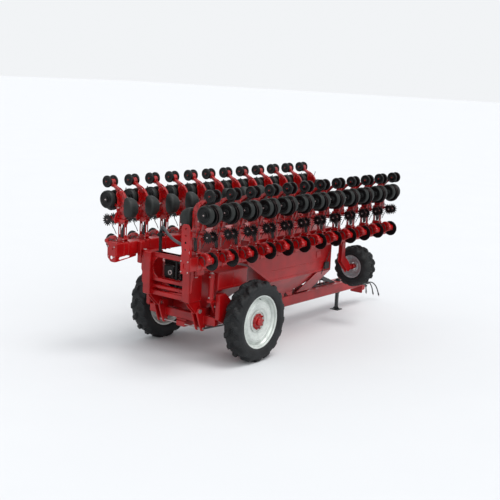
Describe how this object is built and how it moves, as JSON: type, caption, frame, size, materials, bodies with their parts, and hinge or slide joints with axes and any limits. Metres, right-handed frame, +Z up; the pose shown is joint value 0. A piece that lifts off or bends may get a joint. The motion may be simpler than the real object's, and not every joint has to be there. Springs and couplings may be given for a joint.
{
  "type": "folding row planter",
  "caption": "Trailed folding precision planter in road position: drawbar, two tanks, tilting lift frame and two folded wings of row units.",
  "frame": {"origin": "on the ground, at the middle of the machine's length and width without its hoses", "axes": "+X the machine's right side, +Y forwards along the drawbar, +Z up"},
  "size_m": [3.4, 10.0301, 4.1099],
  "materials": {
    "red_paint": "gloss",
    "rim_paint": "satin",
    "dark_steel": "satin",
    "disc_steel": "satin",
    "black_plastic": "matte",
    "hose_rubber": "matte",
    "grey_hose": "matte",
    "tyre_rubber": "matte"
  },
  "bodies": {
    "chassis": {"chassis_frame": "red_paint", "axle_beam": "red_paint", "hitch_head": "red_paint", "stand_sleeve": "dark_steel", "drawbar_brackets": "dark_steel", "lift_cylinders": "red_paint", "front_tank": "red_paint", "rear_hopper": "red_paint", "tank_cradle": "red_paint", "fan_housing": "black_plastic", "drawbar_hose_1": "hose_rubber", "drawbar_hose_2": "hose_rubber", "drawbar_hose_3": "hose_rubber", "hose_couplers": "dark_steel"},
    "tow_eye": {"tow_eye": "dark_steel"},
    "stand": {"stand_leg": "dark_steel"},
    "front_lid": {"front_tank_lid": "red_paint"},
    "rear_lid": {"rear_hopper_lid": "red_paint"},
    "fan": {"fan_rotor": "black_plastic"},
    "lift": {"lift_frame": "red_paint", "seed_manifold": "black_plastic", "air_hose": "grey_hose"},
    "road_wheel_right": {"road_tyre_right": "tyre_rubber", "road_rim_right": "rim_paint", "road_hub_right": "red_paint"},
    "wing_right": {"toolbar_right": "red_paint", "hinge_arm_right": "red_paint", "coulter_arms_right": "red_paint", "wing_wheel_leg_right": "red_paint"},
    "coulters_right": {"coulter_discs_right": "disc_steel"},
    "wing_wheel_right": {"wing_wheel_tyre_right": "tyre_rubber", "wing_wheel_rim_right": "rim_paint"},
    "upper_right": {"upper_links_right": "red_paint"},
    "lower_right": {"lower_links_right": "red_paint"},
    "rows_right": {"unit_frames_right": "red_paint", "seed_meters_right": "black_plastic"},
    "gauges_right": {"gauge_wheels_right": "tyre_rubber"},
    "openers_right": {"opener_discs_right": "disc_steel"},
    "stars_right": {"star_wheels_right": "dark_steel"},
    "closing_forks_right": {"closing_arms_right": "red_paint"},
    "closers_right": {"closing_wheels_right": "tyre_rubber"},
    "road_wheel_left": {"road_tyre_left": "tyre_rubber", "road_rim_left": "rim_paint", "road_hub_left": "red_paint"},
    "wing_left": {"toolbar_left": "red_paint", "hinge_arm_left": "red_paint", "coulter_arms_left": "red_paint", "wing_wheel_leg_left": "red_paint"},
    "coulters_left": {"coulter_discs_left": "disc_steel"},
    "wing_wheel_left": {"wing_wheel_tyre_left": "tyre_rubber", "wing_wheel_rim_left": "rim_paint"},
    "upper_left": {"upper_links_left": "red_paint"},
    "lower_left": {"lower_links_left": "red_paint"},
    "rows_left": {"unit_frames_left": "red_paint", "seed_meters_left": "black_plastic"},
    "gauges_left": {"gauge_wheels_left": "tyre_rubber"},
    "openers_left": {"opener_discs_left": "disc_steel"},
    "stars_left": {"star_wheels_left": "dark_steel"},
    "closing_forks_left": {"closing_arms_left": "red_paint"},
    "closers_left": {"closing_wheels_left": "tyre_rubber"}
  },
  "joints": [
    {"name": "lift_tilt", "type": "hinge", "parent": "chassis", "child": "lift", "pos_m": [0, -3.731, 1.2], "axis": [1, 0, 0], "range_deg": [0, 90]},
    {"name": "tow_eye_swivel", "type": "hinge", "parent": "chassis", "child": "tow_eye", "pos_m": [0, 4.749, 0.47], "axis": [0, 1, 0], "range_deg": [-30, 30]},
    {"name": "stand_slide", "type": "slide", "parent": "chassis", "child": "stand", "axis": [0, 0, 1], "range_m": [0, 0.35]},
    {"name": "fan_spin", "type": "hinge", "parent": "chassis", "child": "fan", "pos_m": [-0.15, -3.706, 1.9], "axis": [0, 1, 0], "continuous": true},
    {"name": "front_lid_hinge", "type": "hinge", "parent": "chassis", "child": "front_lid", "pos_m": [-0.485, -1.571, 2.7333], "axis": [0, -1, 0], "range_deg": [0, 80]},
    {"name": "rear_lid_hinge", "type": "hinge", "parent": "chassis", "child": "rear_lid", "pos_m": [-0.585, -3.371, 2.1533], "axis": [0, -1, 0], "range_deg": [0, 80]},
    {"name": "road_wheel_spin_right", "type": "hinge", "parent": "chassis", "child": "road_wheel_right", "pos_m": [1.445, -2.671, 0.95], "axis": [1, 0, 0], "continuous": true},
    {"name": "wing_fold_right", "type": "hinge", "parent": "lift", "child": "wing_right", "pos_m": [0.78, -4.041, 2.48], "axis": [0, 0, -1], "range_deg": [0, 90]},
    {"name": "coulter_spin_right", "type": "hinge", "parent": "wing_right", "child": "coulters_right", "pos_m": [1.5, -4.471, 2.56], "axis": [0, 1, 0], "continuous": true},
    {"name": "wing_wheel_spin_right", "type": "hinge", "parent": "wing_right", "child": "wing_wheel_right", "pos_m": [1.12, 2.179, 1.585], "axis": [0, 1, 0], "continuous": true},
    {"name": "upper_link_swing_right", "type": "hinge", "parent": "wing_right", "child": "upper_right", "pos_m": [1.01, -4.471, 2.7], "axis": [0, -1, 0], "range_deg": [-5, 15]},
    {"name": "lower_link_swing_right", "type": "hinge", "parent": "wing_right", "child": "lower_right", "pos_m": [1.19, -4.471, 2.7], "axis": [0, -1, 0], "range_deg": [-5, 15]},
    {"name": "row_unit_float_right", "type": "hinge", "parent": "upper_right", "child": "rows_right", "pos_m": [1.01, -4.471, 3.06], "axis": [0, -1, 0], "range_deg": [-15, 5]},
    {"name": "gauge_wheel_spin_right", "type": "hinge", "parent": "rows_right", "child": "gauges_right", "pos_m": [1.46, -4.471, 3.57], "axis": [0, 1, 0], "continuous": true},
    {"name": "opener_disc_spin_right", "type": "hinge", "parent": "rows_right", "child": "openers_right", "pos_m": [1.475, -4.471, 3.535], "axis": [0, 1, 0], "continuous": true},
    {"name": "star_wheel_spin_right", "type": "hinge", "parent": "rows_right", "child": "stars_right", "pos_m": [1.5, -4.471, 3.095], "axis": [0, 1, 0], "continuous": true},
    {"name": "closing_fork_swing_right", "type": "hinge", "parent": "rows_right", "child": "closing_forks_right", "pos_m": [1.15, -4.471, 3.74], "axis": [0, -1, 0], "range_deg": [-6, 8]},
    {"name": "closing_wheel_spin_right", "type": "hinge", "parent": "closing_forks_right", "child": "closers_right", "pos_m": [1.53, -4.471, 3.97], "axis": [0, 1, 0], "continuous": true},
    {"name": "road_wheel_spin_left", "type": "hinge", "parent": "chassis", "child": "road_wheel_left", "pos_m": [-1.445, -2.671, 0.95], "axis": [1, 0, 0], "continuous": true},
    {"name": "wing_fold_left", "type": "hinge", "parent": "lift", "child": "wing_left", "pos_m": [-0.78, -4.041, 2.48], "axis": [0, 0, 1], "range_deg": [0, 90]},
    {"name": "coulter_spin_left", "type": "hinge", "parent": "wing_left", "child": "coulters_left", "pos_m": [-1.5, -4.471, 2.56], "axis": [0, 1, 0], "continuous": true},
    {"name": "wing_wheel_spin_left", "type": "hinge", "parent": "wing_left", "child": "wing_wheel_left", "pos_m": [-1.12, 2.179, 1.585], "axis": [0, 1, 0], "continuous": true},
    {"name": "upper_link_swing_left", "type": "hinge", "parent": "wing_left", "child": "upper_left", "pos_m": [-1.01, -4.471, 2.7], "axis": [0, 1, 0], "range_deg": [-5, 15]},
    {"name": "lower_link_swing_left", "type": "hinge", "parent": "wing_left", "child": "lower_left", "pos_m": [-1.19, -4.471, 2.7], "axis": [0, 1, 0], "range_deg": [-5, 15]},
    {"name": "row_unit_float_left", "type": "hinge", "parent": "upper_left", "child": "rows_left", "pos_m": [-1.01, -4.471, 3.06], "axis": [0, 1, 0], "range_deg": [-15, 5]},
    {"name": "gauge_wheel_spin_left", "type": "hinge", "parent": "rows_left", "child": "gauges_left", "pos_m": [-1.46, -4.471, 3.57], "axis": [0, 1, 0], "continuous": true},
    {"name": "opener_disc_spin_left", "type": "hinge", "parent": "rows_left", "child": "openers_left", "pos_m": [-1.475, -4.471, 3.535], "axis": [0, 1, 0], "continuous": true},
    {"name": "star_wheel_spin_left", "type": "hinge", "parent": "rows_left", "child": "stars_left", "pos_m": [-1.5, -4.471, 3.095], "axis": [0, 1, 0], "continuous": true},
    {"name": "closing_fork_swing_left", "type": "hinge", "parent": "rows_left", "child": "closing_forks_left", "pos_m": [-1.15, -4.471, 3.74], "axis": [0, 1, 0], "range_deg": [-6, 8]},
    {"name": "closing_wheel_spin_left", "type": "hinge", "parent": "closing_forks_left", "child": "closers_left", "pos_m": [-1.53, -4.471, 3.97], "axis": [0, 1, 0], "continuous": true}
  ],
  "couplings": [
    {"joint": "wing_fold_left", "follows": "wing_fold_right", "ratio": 1},
    {"joint": "lower_link_swing_right", "follows": "upper_link_swing_right", "ratio": 1},
    {"joint": "row_unit_float_right", "follows": "upper_link_swing_right", "ratio": -1},
    {"joint": "lower_link_swing_left", "follows": "upper_link_swing_left", "ratio": 1},
    {"joint": "row_unit_float_left", "follows": "upper_link_swing_left", "ratio": -1}
  ]
}
